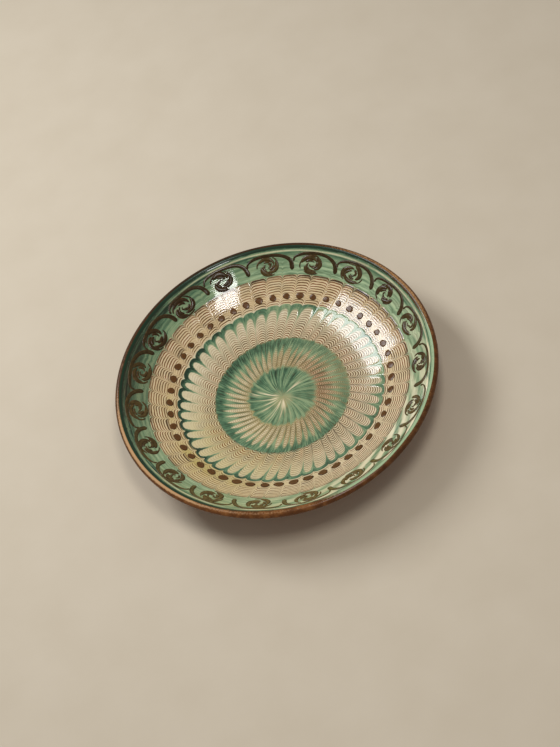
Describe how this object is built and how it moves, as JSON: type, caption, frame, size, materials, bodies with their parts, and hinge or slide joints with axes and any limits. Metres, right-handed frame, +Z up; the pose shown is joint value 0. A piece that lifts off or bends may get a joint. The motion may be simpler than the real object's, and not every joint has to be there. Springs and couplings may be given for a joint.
{
  "type": "slip decorated earthenware plate",
  "caption": "Large shallow thrown dish on a foot ring, with a glazed hollow carrying trailed arches, swirls, dots and feathered petals.",
  "frame": {"origin": "centre of the foot ring's underside, on the surface that the dish stands on", "axes": "+Z up out of the hollow along the dish's axis; +X towards bearing 0, from which the arches, dots and petals are counted anticlockwise seen from above"},
  "size_m": [0.35, 0.35, 0.062],
  "materials": {
    "earthenware": "bare fired terracotta, matt",
    "brown_lip": "brown iron slip under clear glaze, glossy",
    "mint_green": "copper green slip under clear glaze, glossy",
    "deep_green": "strong copper green under clear glaze, glossy",
    "cream": "cream slip under clear glaze, glossy",
    "dark_brown": "dark manganese brown slip under clear glaze, glossy"
  },
  "bodies": {
    "root": {"clay_body": "earthenware", "foot_ring": "earthenware", "lip_band": "brown_lip", "rim_ground": "mint_green", "rim_stripes": "deep_green", "trailed_arches": "dark_brown", "rosettes": "dark_brown", "comb_border": "dark_brown", "comb_ground": "cream", "comb_lines": "dark_brown", "dots": "dark_brown", "petal_trails": "deep_green", "petal_ground": "cream", "green_ring": "deep_green", "inner_ground": "cream", "centre_disc": "deep_green"}
  },
  "joints": []
}
